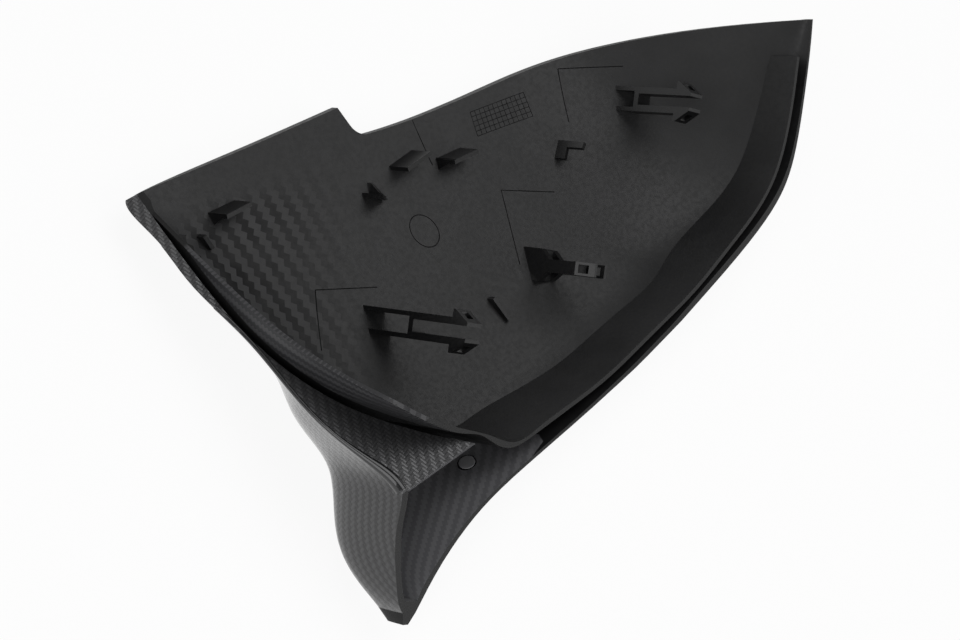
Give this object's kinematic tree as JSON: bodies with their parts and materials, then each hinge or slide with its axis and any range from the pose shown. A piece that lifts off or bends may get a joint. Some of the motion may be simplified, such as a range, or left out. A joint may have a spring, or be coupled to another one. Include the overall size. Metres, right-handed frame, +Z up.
{
  "type": "wing mirror cover",
  "caption": "Left-hand clip-on wing mirror cap: a thin moulded shell with a pointed horn, a rim collar and barbed snap clips inside, glossy weave-look outside.",
  "frame": {"origin": "on the ground, under the middle of the part's box, as it lies on its front skin with the open side up", "axes": "+Z up out of the open side, +X along the length from the horn to the outer tip, +Y towards the parting edge"},
  "size_m": [0.258, 0.1454, 0.0491],
  "materials": {
    "shell": "clear-coated dark twill weave look outside, matte moulded plastic inside"
  },
  "bodies": {
    "root": {"mirror_cover": "shell"}
  },
  "joints": []
}
